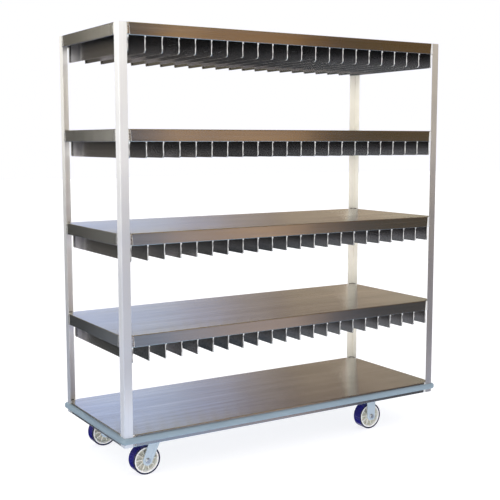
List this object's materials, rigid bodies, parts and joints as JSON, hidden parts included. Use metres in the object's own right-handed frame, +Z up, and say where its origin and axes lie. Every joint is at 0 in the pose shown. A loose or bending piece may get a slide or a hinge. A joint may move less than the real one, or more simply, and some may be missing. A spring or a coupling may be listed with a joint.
{
  "type": "tray drying rack",
  "caption": "Steel drying rack on casters: corner posts carry a base pan and shelves with rows of hanging divider plates that hold trays upright, with a bumper round the base.",
  "frame": {"origin": "on the floor, in the middle of the footprint", "axes": "+X along the length towards the rigid casters, -Y out of the front, +Z up"},
  "size_m": [1.7172, 0.6758, 1.8844],
  "materials": {
    "post_steel": "satin brushed along the length",
    "shelf_steel": "satin mill finish, softly reflective",
    "divider_steel": "satin, bright folded edges",
    "bumper_vinyl": "soft grey-blue vinyl, low gloss",
    "track_aluminium": "mill",
    "zinc_plated_steel": "bright zinc plate, pale blue cast",
    "fastener_steel": "zinc plate",
    "bearing_steel": "ground",
    "wheel_core_plastic": "moulded, cream white",
    "tread_polyurethane": "glossy navy polyurethane"
  },
  "bodies": {
    "rack": {"axle_bolt_back_right": "fastener_steel", "axle_bolt_front_right": "fastener_steel", "axle_nut_back_right": "fastener_steel", "axle_nut_front_right": "fastener_steel", "axle_sleeve_back_right": "bearing_steel", "axle_sleeve_front_right": "bearing_steel", "base_shelf": "shelf_steel", "bumper": "bumper_vinyl", "bumper_track": "track_aluminium", "caster_bolts": "fastener_steel", "caster_channel_left": "shelf_steel", "caster_channel_right": "shelf_steel", "caster_nuts": "fastener_steel", "dividers_shelf_1": "divider_steel", "dividers_shelf_2": "divider_steel", "dividers_shelf_3": "divider_steel", "dividers_top_shelf": "divider_steel", "king_bolt_back_left": "fastener_steel", "king_bolt_front_left": "fastener_steel", "king_nut_back_left": "fastener_steel", "king_nut_front_left": "fastener_steel", "post_back_left": "post_steel", "post_back_right": "post_steel", "post_front_left": "post_steel", "post_front_right": "post_steel", "rigid_fork_back_right": "zinc_plated_steel", "rigid_fork_front_right": "zinc_plated_steel", "rigid_plate_back_right": "zinc_plated_steel", "rigid_plate_front_right": "zinc_plated_steel", "shelf_1": "shelf_steel", "shelf_2": "shelf_steel", "shelf_3": "shelf_steel", "swivel_plate_back_left": "zinc_plated_steel", "swivel_plate_front_left": "zinc_plated_steel", "top_shelf": "shelf_steel"},
    "swivel_front_left": {"swivel_fork_front_left": "zinc_plated_steel", "swivel_balls_front_left": "bearing_steel", "axle_bolt_front_left": "fastener_steel", "axle_nut_front_left": "fastener_steel", "axle_sleeve_front_left": "bearing_steel"},
    "swivel_back_left": {"swivel_fork_back_left": "zinc_plated_steel", "swivel_balls_back_left": "bearing_steel", "axle_bolt_back_left": "fastener_steel", "axle_nut_back_left": "fastener_steel", "axle_sleeve_back_left": "bearing_steel"},
    "wheel_front_left": {"wheel_core_front_left": "wheel_core_plastic", "wheel_tread_front_left": "tread_polyurethane"},
    "wheel_front_right": {"wheel_core_front_right": "wheel_core_plastic", "wheel_tread_front_right": "tread_polyurethane"},
    "wheel_back_left": {"wheel_core_back_left": "wheel_core_plastic", "wheel_tread_back_left": "tread_polyurethane"},
    "wheel_back_right": {"wheel_core_back_right": "wheel_core_plastic", "wheel_tread_back_right": "tread_polyurethane"}
  },
  "joints": [
    {"name": "swivel_front_left_turn", "type": "hinge", "parent": "rack", "child": "swivel_front_left", "pos_m": [-0.67625, -0.22705, 0.147], "axis": [0, 0, 1], "continuous": true},
    {"name": "wheel_front_left_spin", "type": "hinge", "parent": "swivel_front_left", "child": "wheel_front_left", "pos_m": [-0.71115, -0.22705, 0.0635], "axis": [0, 1, 0], "continuous": true},
    {"name": "wheel_front_right_spin", "type": "hinge", "parent": "rack", "child": "wheel_front_right", "pos_m": [0.508, -0.22705, 0.0635], "axis": [0, 1, 0], "continuous": true},
    {"name": "swivel_back_left_turn", "type": "hinge", "parent": "rack", "child": "swivel_back_left", "pos_m": [-0.67625, 0.22705, 0.147], "axis": [0, 0, 1], "continuous": true},
    {"name": "wheel_back_left_spin", "type": "hinge", "parent": "swivel_back_left", "child": "wheel_back_left", "pos_m": [-0.71115, 0.22705, 0.0635], "axis": [0, 1, 0], "continuous": true},
    {"name": "wheel_back_right_spin", "type": "hinge", "parent": "rack", "child": "wheel_back_right", "pos_m": [0.508, 0.22705, 0.0635], "axis": [0, 1, 0], "continuous": true}
  ]
}
